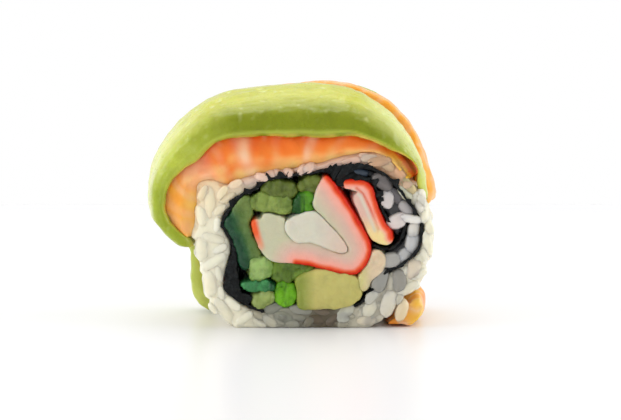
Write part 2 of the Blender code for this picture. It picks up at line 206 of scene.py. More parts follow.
def raised(material, height, depth, beneath=None):
    """A bump of that depth, on top of another one."""
    bump = material.node_tree.nodes.new("ShaderNodeBump")
    bump.inputs["Distance"].default_value = depth
    material.node_tree.links.new(height, bump.inputs["Height"])
    if beneath is not None:
        material.node_tree.links.new(beneath, bump.inputs["Normal"])
    return bump.outputs["Normal"]


seaweed = bpy.data.materials.new("toasted_nori")
leaf_shader = shader_of(
    seaweed, Roughness=0.5, Coat_Weight=0.04, Coat_Roughness=0.3, Specular_IOR_Level=0.22
)
leaf_flecks = texture(seaweed, 0.7 * MM, 5)
leaf_wrinkle = texture(seaweed, 1.6 * MM, 4, distortion=0.6)
seaweed_color = ramp(
    seaweed, leaf_flecks, (0.30, tone(5, 6, 6)), (0.55, tone(16, 20, 21)), (0.78, tone(40, 48, 50))
)
seaweed_links = seaweed.node_tree.links
seaweed_links.new(seaweed_color, leaf_shader.inputs["Base Color"])
seaweed_links.new(ranged(seaweed, leaf_flecks, 0.45, 0.8), leaf_shader.inputs["Roughness"])
leaf_bump = raised(seaweed, leaf_wrinkle, 0.5 * MM)
seaweed_links.new(raised(seaweed, leaf_flecks, 0.18 * MM, leaf_bump), leaf_shader.inputs["Normal"])


def torn_sheet(node, seed):
    """A CAD strip of nori, crumpled, with both rims torn."""
    bm = merged_copy(node)
    low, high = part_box(node)
    for axis in (0, 2):
        count = int((high[axis] - low[axis]) / NORI_STEP)
        diced(bm, axis, [low[axis] + NORI_STEP * (step + 0.5) for step in range(count)])
    steps = [step * MM for step in NORI_STATIONS]
    diced(bm, 1, [low[1] + step for step in steps] + [high[1] - step for step in steps])
    bmesh.ops.dissolve_degenerate(bm, edges=bm.edges, dist=NORI_SLIVER)
    mesh = bpy.data.meshes.new(node)
    bm.to_mesh(mesh)
    bm.free()
    points, normals = arrays(mesh)
    flat = points * (1, 0.25, 1)
    rim = np.minimum(points[:, 1] - low[1], high[1] - points[:, 1])
    near = np.clip(1 - rim / NORI_TEAR_DEPTH, 0, 1)
    side = np.where(points[:, 1] < 0, -1, 1)
    tear = lumps(points * (1, 0, 1) + (0, 9 * MM, 0) * (side[:, None] > 0), NORI_TEAR_SIZE, seed)
    result = points.copy()
    result[:, 1] += side * near * NORI_TEAR * (tear - 0.05)
    tucked = np.clip((NORI_TUCK_BELOW - points[:, 2]) / MM, 0, 1)
    tucked *= np.clip(NORI_TUCK_REACH - np.abs(points[:, 0] / MM - NORI_TUCK_MIDDLE), 0, 1)
    result[:, 1] -= side * near * NORI_TUCK * tucked
    for axis in (0, 2):
        result[:, axis] += (0.5 + near) * NORI_CRUMPLE * lumps(flat, NORI_CRUMPLE_SIZE, seed + axis + 1)
    result += normals * (near * NORI_EDGE * (lumps(flat, NORI_TEAR_SIZE / 2, seed + 5)))[:, None]
    outward = points[:, [0, 2]] - AXIS
    outward /= np.linalg.norm(outward, axis=1)[:, None]
    outside = (normals[:, [0, 2]] * outward).sum(axis=1)
    spike = np.clip(lumps(flat, NORI_SPIKE_SIZE, seed + 6) - NORI_SPIKE_FROM, 0, 1) * near * (outside > -0.1)
    height, rise, least = NORI_SPIKE_RISE
    spike = np.minimum(spike * NORI_SPIKE, NORI_SPIKE_MOST)
    spike *= np.clip((points[:, 2] / MM - height) / rise, least, 1)
    away = np.linalg.norm(points[:, [0, 2]] - NORI_BUCKLE, axis=1) / NORI_BUCKLE_REACH
    buckle = NORI_BUCKLE_DEPTH * np.exp(-(away**2)) * (outside < 0) * (node != "nori_fold")
    result[:, [0, 2]] += outward * (spike - buckle)[:, None]
    moved(mesh, result)
    mesh.shade_smooth()
    return mesh


for seed, node in enumerate(("nori_loop", "nori_inner", "nori_fold")):
    served(node + "_torn", torn_sheet(node, seed * 11), seaweed, "nori", node)


# Crab stick. White fish paste in fine layers, steamed and skinned with a red-orange dye, torn
# into a large piece folded round its own lobe and a small one beside it. It lies loose inside.

CRAB_CELL = 0.24 * MM
SQUEEZE = 0.35 * MM
SQUEEZE_DEPTH = 2.5 * MM
CREASE_WIDTH = 0.16
CRAB_WHITE = tone(206, 204, 174)
CRAB_LOBE_WHITE = tone(220, 216, 198)
CRAB_PINK = tone(252, 176, 158)
CRAB_BLUSH = tone(226, 188, 172)
CRAB_RED = tone(214, 34, 6)
CRAB_ORANGE = tone(242, 98, 46)
CRAB_CREAM = tone(250, 224, 160)
CRAB_SKIN_RIGHT = [
    (6.3, 29.2), (7.7, 27.6), (9.7, 24.7), (11.5, 22.0), (13.0, 19.4), (14.2, 17.0),
    (14.6, 15.2), (14.2, 13.3), (13.2, 11.7), (11.9, 10.7), (9.6, 10.6), (6.5, 11.4),
    (3.0, 12.3), (0.5, 12.7),
]  # fmt: skip
CRAB_SKIN_LEFT = [(-7.8, 20.4), (-7.2, 17.9), (-6.5, 15.8)]
CRAB_SKIN_SMALL = [
    (10.0, 28.5), (11.8, 28.4), (13.8, 28.1), (14.9, 27.0), (15.4, 25.5), (15.9, 23.8),
    (16.6, 21.9), (17.5, 20.0), (18.5, 18.8), (18.7, 17.6),
]  # fmt: skip
CRAB_FOLD_SMALL = [(12.0, 27.0), (13.3, 25.9), (14.5, 23.4), (15.4, 21.2), (16.2, 19.2)]

# The fillings turn about the axis along the roll, as the CAD fillings do.
TWIST = math.radians(8)
TWIST_REACH = np.array((21.0, 16.5)) * MM


def unrolled(points):
    """Where points of a filling lie on the front cut, as (x, z) in millimetres."""
    part = (points[:, [0, 2]] - AXIS) / TWIST_REACH
    depth = np.clip((points[:, 1] - FRONT) / (BACK - FRONT), 0, 1)
    angle = -TWIST * depth * np.maximum(0, 1 - (part**2).sum(axis=1))
    turned = np.stack(
        (
            part[:, 0] * np.cos(angle) - part[:, 1] * np.sin(angle),
            part[:, 0] * np.sin(angle) + part[:, 1] * np.cos(angle),
        ),
        axis=1,
    )
    return (AXIS + turned * TWIST_REACH) / MM


def main_body(mesh):
    """Leaves only the largest connected shell of a mesh, without the bubbles inside it."""
    ends = np.empty(len(mesh.edges) * 2, int)
    mesh.edges.foreach_get("vertices", ends)
    first, second = ends.reshape(-1, 2).T
    labels, before = np.arange(len(mesh.vertices)), None
    while before is None or (labels != before).any():
        before = labels.copy()
        lowest = np.minimum(labels[first], labels[second])
        np.minimum.at(labels, before[first], lowest)
        np.minimum.at(labels, before[second], lowest)
        labels = labels[labels]
    main = np.bincount(labels).argmax()
    bm = bmesh.new()
    bm.from_mesh(mesh)
    others = [vertex for vertex, label in zip(bm.verts, labels) if label != main]
    bmesh.ops.delete(bm, geom=others, context="VERTS")
    bm.to_mesh(mesh)
    bm.free()


def remeshed(bm, cell, rounds):
    """The shape on an even grid of small faces, with its edges softened."""
    rough = bpy.data.objects.new("rough", bpy.data.meshes.new("rough"))
    bm.to_mesh(rough.data)
    bm.free()
    bpy.context.scene.collection.objects.link(rough)
    grid = rough.modifiers.new("grid", "REMESH")
    grid.mode = "VOXEL"
    grid.voxel_size = cell
    soft = rough.modifiers.new("soft", "SMOOTH")
    soft.iterations = rounds
    graph = bpy.context.evaluated_depsgraph_get()
    mesh = bpy.data.meshes.new_from_object(rough.evaluated_get(graph))
    bpy.data.objects.remove(rough)
    main_body(mesh)
    return mesh


def distance_to(path, flat):
    """How far each flat (x, z) point lies from an open path, in millimetres."""
    nearest = np.full(len(flat), np.inf)
    for start, end in zip(np.array(path), np.array(path)[1:]):
        span = end - start
        share = np.clip((flat - start) @ span / (span @ span), 0, 1)
        nearest = np.minimum(nearest, np.linalg.norm(flat - start - share[:, None] * span, axis=1))
    return nearest


def graded(values, *stops):
    """Tones read off (value, tone) stops at each value."""
    places = [value for value, _ in stops]
    return np.stack(
        [np.interp(values, places, [color[part] for _, color in stops]) for part in range(3)], axis=1
    )


def mixed(first, second, share):
    """Tones that go from the first to the second by a share at each point."""
    share = np.clip(share, 0, 1)[:, None]
    return first * (1 - share) + second * share


def moist(
    name, roughness, glow, reach, mottle, mottle_size, grain, grain_depth,
    stretch=(1, 1, 1), wet=0.1, sinking=(1.0, 0.6, 0.35),
):  # fmt: skip
    """A moist cut food: each point's own tone, faintly mottled, with light sinking in."""
    material = bpy.data.materials.new(name)
    shader = shader_of(
        material,
        Subsurface_Weight=glow,
        Subsurface_Radius=sinking,
        Subsurface_Scale=reach,
        IOR=1.4,
        Coat_Weight=wet,
        Coat_Roughness=0.12,
        Specular_IOR_Level=0.25,
    )
    links = material.node_tree.links
    own = material.node_tree.nodes.new("ShaderNodeAttribute")
    own.attribute_name = "tone"
    patches = texture(material, mottle_size, 4, stretch, 0.4)
    shade = ramp(material, patches, (0.25, (1 - mottle,) * 3), (0.5, (1, 1, 1)), (0.8, (1 + mottle / 2,) * 3))
    links.new(blended(material, "MULTIPLY", 1.0, own.outputs["Color"], shade), shader.inputs["Base Color"])
    fibres = texture(material, grain, 4, stretch)
    links.new(ranged(material, fibres, roughness - 0.08, roughness + 0.12), shader.inputs["Roughness"])
    links.new(raised(material, fibres, grain_depth), shader.inputs["Normal"])
    return material


def faceted(flat, size, seed):
    """The broken look of cut leaf and stalk: a step for each facet, and how near a crease a point is."""
    steps = np.empty(len(flat))
    creases = np.empty(len(flat))
    for index, (x, z) in enumerate(flat / size):
        distances, centres = noise.voronoi(Vector((x, seed * 3.1, z * 0.7)))
        steps[index] = noise.noise(centres[0] * 5.3)
        creases[index] = distances[1] - distances[0]
    return steps, np.exp(-((creases / CREASE_WIDTH) ** 2))


def plump(node, cell, rounds, swell, lump, lump_size, fibre=0.0, fibre_size=0.6 * MM):
    """A CAD filling with rounded rims, uneven as cut food is, and swollen more behind its cuts."""
    mesh = remeshed(merged_copy(node), cell, rounds)
    points, normals = arrays(mesh)
    seed = sum(map(ord, node)) % 97
    behind = np.clip((BACK - np.abs(points[:, 1])) / SQUEEZE_DEPTH, 0, 1) * (np.abs(normals[:, 1]) < 0.5)
    height = swell + SQUEEZE * behind + lump * lumps(points * (1, 0.4, 1), lump_size, seed)
    height += lump * 0.5 * lumps(points * (1, 0.3, 1), lump_size / 2.3, seed + 7)
    if fibre:
        height += fibre * lumps(points, (fibre_size, fibre_size * 12, fibre_size), seed + 3)
    moved(mesh, points + normals * height[:, None])
    return mesh, unrolled(points)


crab = moist("crab_stick_flesh", 0.38, 0.5, 1.6 * MM, 0.06, 2.5 * MM, 0.35 * MM, 0.06 * MM, (1, 8, 1))

mesh, flat = plump("crab_large", CRAB_CELL, 2, 0.26 * MM, 0.12 * MM, 2.5 * MM, 0.05 * MM)
skin = distance_to(CRAB_SKIN_RIGHT, flat) + 0.22 * lumps(np.c_[flat, flat[:, 0]], 2.6, 4)
crab_tones = graded(
    skin, (0.15, CRAB_RED), (0.5, CRAB_ORANGE), (1.0, CRAB_PINK), (2.5, CRAB_BLUSH), (5.0, CRAB_WHITE)
)
left_skin = distance_to(CRAB_SKIN_LEFT, flat)
left_share = np.clip(1.6 - left_skin / 0.8, 0, 1) * np.clip((flat[:, 1] - 13.5) / 5, 0, 1)
crab_tones = mixed(crab_tones, CRAB_ORANGE, left_share)
painted(mesh, crab_tones)
served("crab_large_piece", mesh, crab, "crab_stick", "crab_large")

mesh, flat = plump("crab_lobe", CRAB_CELL, 2, 0.3 * MM, 0.12 * MM, 2.0 * MM, 0.05 * MM)
painted(mesh, mixed(CRAB_LOBE_WHITE, CRAB_BLUSH, (flat[:, 0] - 4) / 9))
served("crab_lobe_piece", mesh, crab, "crab_stick", "crab_lobe")

mesh, flat = plump("crab_small", CRAB_CELL, 2, 0.26 * MM, 0.12 * MM, 2.0 * MM, 0.05 * MM)
skin = distance_to(CRAB_SKIN_SMALL, flat) + 0.18 * lumps(np.c_[flat, flat[:, 0]], 2.4, 8)
crab_tones = graded(skin, (0.1, CRAB_RED), (0.6, CRAB_ORANGE), (1.1, CRAB_PINK), (2.2, CRAB_BLUSH))
cream_share = np.clip((22 - flat[:, 1]) / 4, 0, 1) * np.clip((skin - 0.9) / 0.8, 0, 1)
crab_tones = mixed(crab_tones, CRAB_CREAM, cream_share)
fold = distance_to(CRAB_FOLD_SMALL, flat)
# The white line beside the fold is a painted highlight along the fold's edge; the fold itself is the orange
# skin.
beside = distance_to(np.array(CRAB_FOLD_SMALL) - (0.7, 0.35), flat)
crab_tones = mixed(crab_tones, CRAB_LOBE_WHITE, 0.9 - beside / 0.5)
crab_tones = mixed(crab_tones, CRAB_ORANGE, (0.8 - fold / 0.4) * np.clip((flat[:, 1] - 19) / 4, 0.2, 1))
painted(mesh, crab_tones)
points, normals = arrays(mesh)
moved(mesh, points - normals * (0.35 * MM * np.exp(-((fold / 0.3) ** 2)))[:, None])
served("crab_small_piece", mesh, crab, "crab_stick", "crab_small")


# Cucumber. Batons of cucumber cut by hand, watery and translucent, some with a strip of the dark
# skin left on. They lie along the roll against the nori, pressed together by the rice.

GREEN_CELL = 0.27 * MM
CUCUMBER_TONES = {
    "cucumber_upper": (tone(112, 126, 50), tone(74, 92, 32)),
    "cucumber_middle": (tone(140, 160, 78), tone(104, 126, 52)),
    "cucumber_tip": (tone(122, 136, 58), tone(80, 98, 36)),
    "cucumber_pale": (tone(172, 202, 122), tone(116, 150, 70)),
    "cucumber_olive": (tone(112, 142, 50), tone(78, 104, 34)),
    "cucumber_low": (tone(184, 200, 126), tone(138, 156, 82)),
}
CUCUMBER_FACET = 2.5
FACET_STEP = 0.6 * MM
FACET_WAY = (0.4, 1.0, 0.4)
FACET_CREASE = 0.22 * MM
CUCUMBER_SKIN_TONES = [
    (0.6, tone(24, 70, 44)), (1.5, tone(40, 88, 48)), (2.4, tone(86, 116, 58)), (4, tone(112, 134, 66)),
]  # fmt: skip
CUCUMBER_SKIN_EDGE = [
    (-12.6, 20.8), (-12.7, 19.6), (-11.9, 18.2), (-11.1, 16.8), (-10.5, 14.6), (-10.2, 12.8), (-9.6, 11.8),
]  # fmt: skip

cucumber = moist(
    "cucumber_flesh", 0.28, 0.35, 1.2 * MM, 0.26, 1.2 * MM, 0.5 * MM, 0.12 * MM, (1, 5, 1), wet=0.2
)

for node, (bright, dark) in CUCUMBER_TONES.items():
    mesh, flat = plump(node, GREEN_CELL, 1, 0.5 * MM, 0.42 * MM, 1.5 * MM, 0.1 * MM)
    points, normals = arrays(mesh)
    steps, creases = faceted(flat, CUCUMBER_FACET, sum(map(ord, node)) % 31)
    moved(mesh, points + normals * FACET_WAY * (FACET_STEP * steps - FACET_CREASE * creases)[:, None])
    # Each facet has its own tone at random; the creases are also painted darker, a painted shade in them.
    painted(mesh, mixed(bright, dark, 0.38 + 1.1 * steps + 0.25 * creases))
    served(node + "_baton", mesh, cucumber, "cucumber", node)

mesh, flat = plump("cucumber_skin", GREEN_CELL, 2, 0.48 * MM, 0.3 * MM, 1.8 * MM, 0.1 * MM)
skin = distance_to(CUCUMBER_SKIN_EDGE, flat) + 0.3 * lumps(np.c_[flat, flat[:, 0]], 1.2, 2)
painted(mesh, graded(skin, *CUCUMBER_SKIN_TONES))
served("cucumber_skin_baton", mesh, cucumber, "cucumber", "cucumber_skin")


# Leaves. Folded green lettuce and herb, brighter and thinner than the cucumber, crushed flat
# between the other fillings, so that its cut edge shows as short bright strips.

leaf = moist("green_leaf", 0.3, 0.3, 0.8 * MM, 0.32, 1.0 * MM, 0.4 * MM, 0.14 * MM, (1, 5, 1), wet=0.2)
LEAF_FACET = 1.5
LEAF_TONES = {
    "leaf_stick": (tone(116, 186, 30), tone(28, 80, 24)),
    "leaf_dark": (tone(72, 148, 88), tone(20, 74, 42)),
    "leaf_bright": (tone(112, 180, 22), tone(60, 116, 14)),
}

for node, (bright, dark) in LEAF_TONES.items():
    mesh, flat = plump(node, GREEN_CELL, 1, 0.34 * MM, 0.4 * MM, 1.2 * MM, 0.14 * MM)
    points, normals = arrays(mesh)
    steps, creases = faceted(flat * (1, 0.5), LEAF_FACET, sum(map(ord, node)) % 29)
    moved(mesh, points + normals * FACET_WAY * (FACET_STEP * steps - FACET_CREASE * creases)[:, None])
    # Each facet has its own tone at random; the creases are also painted darker, a painted shade in them.
    share = 0.34 + 1.1 * steps + 0.35 * creases
    if node == "leaf_stick":
        share += np.clip((1.9 - flat[:, 0]) / 1.4, 0, 1)
    painted(mesh, mixed(bright, dark, share))
    served(node + "_fold", mesh, leaf, "leaf", node)


# Avocado inside. A soft ripe stick, yellow-green and greener to the left where the skin was, and
# a paler one beside it. Both smear a little where the knife went through.

AVOCADO_INSIDE = tone(198, 190, 112)
AVOCADO_INSIDE_GREEN = tone(142, 154, 64)
AVOCADO_STICK = tone(226, 204, 172)
AVOCADO_STICK_GREEN = tone(214, 206, 140)

avocado_inside = moist("avocado_inside", 0.34, 0.4, 1.4 * MM, 0.14, 2.2 * MM, 0.5 * MM, 0.1 * MM, wet=0.25)

mesh, flat = plump("avocado_filling", GREEN_CELL, 2, 0.5 * MM, 0.34 * MM, 2.4 * MM)
painted(mesh, mixed(AVOCADO_INSIDE_GREEN, AVOCADO_INSIDE, (flat[:, 0] - 1.6) / 2.6))
served("avocado_filling_stick", mesh, avocado_inside, "avocado", "avocado_filling")

mesh, flat = plump("avocado_stick", GREEN_CELL, 2, 0.48 * MM, 0.3 * MM, 1.8 * MM)
painted(mesh, mixed(AVOCADO_STICK_GREEN, AVOCADO_STICK, (flat[:, 0] - 13) / 2))
served("avocado_side_stick", mesh, avocado_inside, "avocado", "avocado_stick")


# Rice. Steamed short-grain rice dressed with vinegar, pressed by hand into a ring and a crescent.
# Its grains stick to each other, so the core fills the hollows between the whole grains on it.

RICE_CELL = 0.38 * MM
RICE_SINK = 1.15 * MM
RICE_CUT_SINK = 0.4 * MM
RICE_THIN = (1.0 * MM, 3.0 * MM)
RICE_PROUD = 0.85 * MM
RICE_UNDER_SLICE = 0.3 * MM
RICE_OVER_NORI = (0.15 * MM, 0.5 * MM, 1.1 * MM)
GRAIN_LENGTH = (5.4 * MM, 7.2 * MM)
GRAIN_WIDTH = (2.3 * MM, 2.8 * MM)
GRAIN_FLATNESS = 0.85
GRAIN_BEND = 0.16
GRAIN_UNEVEN = 0.15
GRAIN_BLUNT = 0.8
GRAIN_SHADES = (0.92, 1.04)
GRAIN_SPOTS = (-0.8, -0.4, 0, 0.4, 0.8)
GRAIN_SLICED = 0.75
GRAIN_SINK_CUT = (-0.55, -0.1)
GRAIN_SINK_SIDE = (-0.05, 0.4)
GRAIN_SIDES = 8
GRAIN_RINGS = 7
GRAIN_TRIES = 3500
GRAIN_SHARES = (1, 0.85, 0.7, 0.55)
GRAIN_IN_CORE = 0.98
CUT_OF_CORE = 0.12 * MM
RICE_WHITE = tone(252, 244, 216)
RICE_BOUNCED_GLOW = tone(250, 216, 168)
RICE_LILAC_SHADE = tone(232, 196, 176)
RICE_GREY_SHADE = tone(158, 156, 140)
RICE_DARK_SHADE = tone(98, 88, 68)
RICE_TAN_SHADE = tone(214, 160, 112)
RICE_GLASSY = tone(196, 190, 172)

random = np.random.default_rng(7)


def rice_tone(points):
    """Rice tone: white, with painted light and shade: grey and darker at the bottom front, where little light
    reaches and the rice is thin over the nori; lilac shade under the salmon; a tan shade with the salmon's
    colour at the upper right; orange light bounced from the salmon at the upper left; glassy grey at the
    lower right.
    """
    x, z = points[:, 0] / MM, points[:, 2] / MM
    # Painted shade: grey, and darker still near x = 6, at the bottom of the front where the lamps leave it
    # dim.
    low = np.clip((5.4 - z) / 1.5, 0, 1) * np.clip(1.6 - np.abs(x - 3) / 8, 0, 1)
    dark = low * np.exp(-(((x - 6) / 4) ** 2))
    # Painted light and shade from the slices: tan shade at the upper right, lilac shade under the salmon, and
    # its orange light bounced onto the upper left.
    tan = np.clip((x - 12) / 4, 0, 1) * np.clip((z - 26) / 2, 0, 1)
    under = np.clip((z - 25.5) / 3, 0, 1) * np.clip((x + 16) / 5, 0, 1)
    warm = np.clip((z - 20) / 5, 0, 1) * np.clip((-x - 8) / 5, 0, 1)
    glassy = np.clip((x - 8) / 4, 0, 1) * np.clip((22 - x) / 2, 0, 1) * np.clip((13 - z) / 4, 0, 1)
    glassy *= points[:, 1] < FRONT + 3 * MM
    tones = mixed(mixed(RICE_WHITE, RICE_GREY_SHADE, low), RICE_DARK_SHADE, dark)
    tones = mixed(tones, RICE_GLASSY, glassy * (1 - low))
    tones = mixed(mixed(tones, RICE_LILAC_SHADE, under), RICE_TAN_SHADE, tan * 0.7)
    return mixed(tones, RICE_BOUNCED_GLOW, warm * 0.6)


rice = moist(
    "steamed_rice", 0.3, 0.5, 1.6 * MM, 0.06, 1.5 * MM, 0.5 * MM, 0.05 * MM, wet=0.4, sinking=(1, 0.88, 0.7)
)

ring = merged_copy("rice_ring")
ring_tree = bvhtree.BVHTree.FromBMesh(ring)
slices = bmesh.new()
for node in ("salmon_slice", "avocado_front", "salmon_band", "avocado_rear"):
    slices.from_mesh(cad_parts[node].data)
slices_tree = bvhtree.BVHTree.FromBMesh(slices)
slices.free()


def under_drape(point, normal):
    """True where a slice lies close over this place."""
    return slices_tree.ray_cast(point - normal * MM, normal, 2.6 * MM)[0] is not None


def depth_inside(point, from_cuts=0.0):
    """How far a point lies inside the ring, negative outside, read at least so far from the cuts."""
    point = Vector((point.x, min(max(point.y, FRONT + from_cuts), BACK - from_cuts), point.z))
    at, normal, _, away = ring_tree.find_nearest(point)
    return away if (point - at).dot(normal) < 0 else -away


def thick_share(point, normal):
    """0 where the ring is thin behind this place, 1 where it is thick."""
    depth = ring_tree.ray_cast(point - normal * MM / 10, -normal)[3] or 0
    return min(max((depth - RICE_THIN[0]) / (RICE_THIN[1] - RICE_THIN[0]), 0), 1)


class Grain:
    """One grain of rice: its middle, its long axis, the side that shows, its size and its tone."""

    def __init__(self, centre, along, normal, length, width, reach, shade=None):
        self.centre = centre
        self.along = along
        self.normal = normal
        self.length = length
        self.width = width
        self.reach = reach
        self.bend = random.uniform(-GRAIN_BEND, GRAIN_BEND)
        self.seed = random.uniform(0, 50)
        if shade is None:
            shade = rice_tone(np.array([centre]))[0] * random.uniform(*GRAIN_SHADES)
        self.shade = shade
        self.spots = [
            (centre + along * (length / 2 * step), math.sqrt(1 - step * step)) for step in GRAIN_SPOTS
        ]

    def whole(self, on_cut, proud):
        """True where the grain stays inside the ring, or stands out by no more than that."""
        thick = self.width * GRAIN_FLATNESS / 2
        for point, share in self.spots:
            if point.z < thick * share:
                return False
            if on_cut and depth_inside(point, 3 * MM) < self.width / 2 * share * 0.8:
                return False
            if not on_cut and depth_inside(point) < thick * share * 0.8 - proud:
                return False
        return True

    def shaped(self, ball, share, deeper):
        """The ball as this grain: a blunt oval, bent, uneven, and sliced off where the knife went."""
        side = self.along.cross(self.normal).normalized()
        flat_way = self.along.cross(side).normalized()
        uneven = share * (1 + GRAIN_UNEVEN * lumps(ball, 0.8, self.seed))
        across = ball[:, 0] + self.bend * (1 - ball[:, 2] ** 2)
        blunt = np.sign(ball[:, 2]) * np.abs(ball[:, 2]) ** GRAIN_BLUNT
        shape = np.outer(across * self.width / 2, side)
        shape += np.outer(ball[:, 1] * self.width * GRAIN_FLATNESS / 2, flat_way)
        shape += np.outer(blunt * self.length / 2, self.along)
        shape = np.array(self.centre) + shape * uneven[:, None]
        over = np.maximum(np.abs(shape[:, 1]) - self.reach + deeper, 0)
        shape[:, 1] -= np.sign(shape[:, 1]) * over * GRAIN_SLICED
        shape[:, 2] = np.maximum(shape[:, 2], 0)
        return shape


def grains_mesh(name, share=1.0, deeper=0.0):
    """All the whole grains as one mesh, each made from a ball and cut off so much deeper."""
    ball = bmesh.new()
    bmesh.ops.create_uvsphere(ball, u_segments=GRAIN_SIDES, v_segments=GRAIN_RINGS, radius=1)
    one = bpy.data.meshes.new("grain")
    ball.to_mesh(one)
    ball.free()
    bm = bmesh.new()
    for _ in grains:
        bm.from_mesh(one)
    mesh = bpy.data.meshes.new(name)
    bm.to_mesh(mesh)
    bm.free()
    balls, _ = arrays(one)
    moved(mesh, np.concatenate([grain.shaped(balls, share, deeper) for grain in grains]))
    painted(mesh, np.repeat([grain.shade for grain in grains], len(balls), axis=0))
    bpy.data.meshes.remove(one)
    return mesh


packed_spots = np.empty((0, 3))
packed_widths = np.empty(0)
grains = []


def scatter(faces, tries, scale, overlap):
    """Throws grains at the ring's open faces and keeps those that lie clear of the others."""
    global packed_spots, packed_widths
    weights = np.array([area for area, _, _ in faces])
    for index in random.choice(len(faces), tries, p=weights / weights.sum()):
        _, corners, normal = faces[index]
        first, second = sorted(random.random(2))
        spot = corners[0] * first + corners[1] * (second - first) + corners[2] * (1 - second)
        on_cut = abs(normal.y) > 0.6
        proud = 0
        if on_cut:
            sink = random.uniform(*GRAIN_SINK_CUT) * MM
            sink += 0.7 * MM * random.random() * min(max((spot.x / MM + 2) / 10, 0), 1)
            across = normal.cross(Vector((spot.x - AXIS[0], 0, spot.z - AXIS[1]))).normalized()
            turn = random.normal(0, 0.6)
        else:
            proud = RICE_PROUD * (1 - thick_share(spot, normal))
            sink = random.uniform(*GRAIN_SINK_SIDE) * MM - proud
            across = normal.orthogonal().normalized()
            turn = random.uniform(0, math.pi)
        length = random.uniform(*GRAIN_LENGTH) * scale
        width = random.uniform(*GRAIN_WIDTH) * (0.5 + scale / 2)
        middle = np.array(spot - normal * width / 2)
        away = np.linalg.norm(packed_spots - middle, axis=1)
        if (away < packed_widths / 2 * overlap).any():
            continue
        along = (Matrix.Rotation(turn, 3, normal) @ across) + normal * random.normal(0, 0.2)
        along.normalize()
        reach = BACK + random.uniform(-0.2, 0.15) * MM
        for share in GRAIN_SHARES:
            wide = width * share**0.6
            centre = spot - normal * (wide * GRAIN_FLATNESS / 2 + sink)
            grain = Grain(centre, along, normal, length * share, wide, reach)
            if grain.whole(on_cut, proud):
                break
        else:
            continue
        spots = np.array([point for point, _ in grain.spots])
        widths = np.array([share * wide for _, share in grain.spots])
        away = np.linalg.norm(packed_spots[None] - spots[:, None], axis=2)
        if (away < (packed_widths[None] + widths[:, None]) / 2 * overlap).any():
            continue
        packed_spots = np.vstack((packed_spots, spots))
        packed_widths = np.append(packed_widths, widths)
        if not under_drape(spot, normal):
            grains.append(grain)


open_faces = []
for face in ring.faces:
    centre = face.calc_center_median()
    away = Vector((centre.x - AXIS[0], 0, centre.z - AXIS[1])).normalized()
    if abs(face.normal.y) > 0.6 or (face.normal.dot(away) > 0 and face.normal.z > -0.9):
        corners = [vertex.co.copy() for vertex in face.verts]
        open_faces.append((face.calc_area(), corners, face.normal.copy()))
cut_faces = [face for face in open_faces if abs(face[2].y) > 0.6]
side_faces = [face for face in open_faces if abs(face[2].y) <= 0.6]
scatter(cut_faces, GRAIN_TRIES, 1.0, 0.68)
scatter(open_faces, GRAIN_TRIES, 1.0, 0.68)
scatter(cut_faces, GRAIN_TRIES, 0.7, 0.62)
scatter(open_faces, GRAIN_TRIES, 0.7, 0.62)
scatter(side_faces, GRAIN_TRIES, 0.85, 0.5)
scatter(side_faces, GRAIN_TRIES, 0.7, 0.45)

mesh = remeshed(ring, RICE_CELL, 1)
points, normals = arrays(mesh)
outward = points[:, [0, 2]] - AXIS
outward /= np.linalg.norm(outward, axis=1)[:, None]
cut = np.clip((np.abs(normals[:, 1]) - 0.3) / 0.5, 0, 1)
inner = (cut == 0) & ((normals[:, [0, 2]] * outward).sum(axis=1) < 0)
covered = np.array([under_drape(Vector(p), Vector(n)) for p, n in zip(points, normals)])
thick = np.array([thick_share(Vector(p), Vector(n)) for p, n in zip(points, normals)])
height = -RICE_SINK * (1 - cut) * thick - RICE_CUT_SINK * cut
height = np.where(covered & (cut == 0), RICE_UNDER_SLICE, height)
low_front = (points[:, 2] < 5 * MM) & (np.abs(points[:, 0] - 2 * MM) < 9 * MM)
left, above, below = RICE_OVER_NORI
over_nori = np.where(low_front, below, np.where(points[:, 2] > 24 * MM, above, left))
height = np.where(inner, over_nori, height)
height = np.where((height < 0) & (points[:, 2] < 0.6 * MM), height * points[:, 2] / (0.6 * MM), height)
moved(mesh, points + normals * height[:, None])
core = bmesh.new()
core.from_mesh(mesh)
core.from_mesh(grains_mesh("grains_in_core", GRAIN_IN_CORE, CUT_OF_CORE))
mesh = remeshed(core, RICE_CELL, 2)
points, normals = arrays(mesh)
relief = 0.12 * MM * lumps(points, 1.2 * MM, 3) + 0.06 * MM * lumps(points, 0.6 * MM, 5)
points = points + normals * relief[:, None]
points[:, 2] = np.maximum(points[:, 2], 0)
moved(mesh, points)
painted(mesh, rice_tone(points) * 0.97)
served("rice_core", mesh, rice, "rice", "rice_ring")
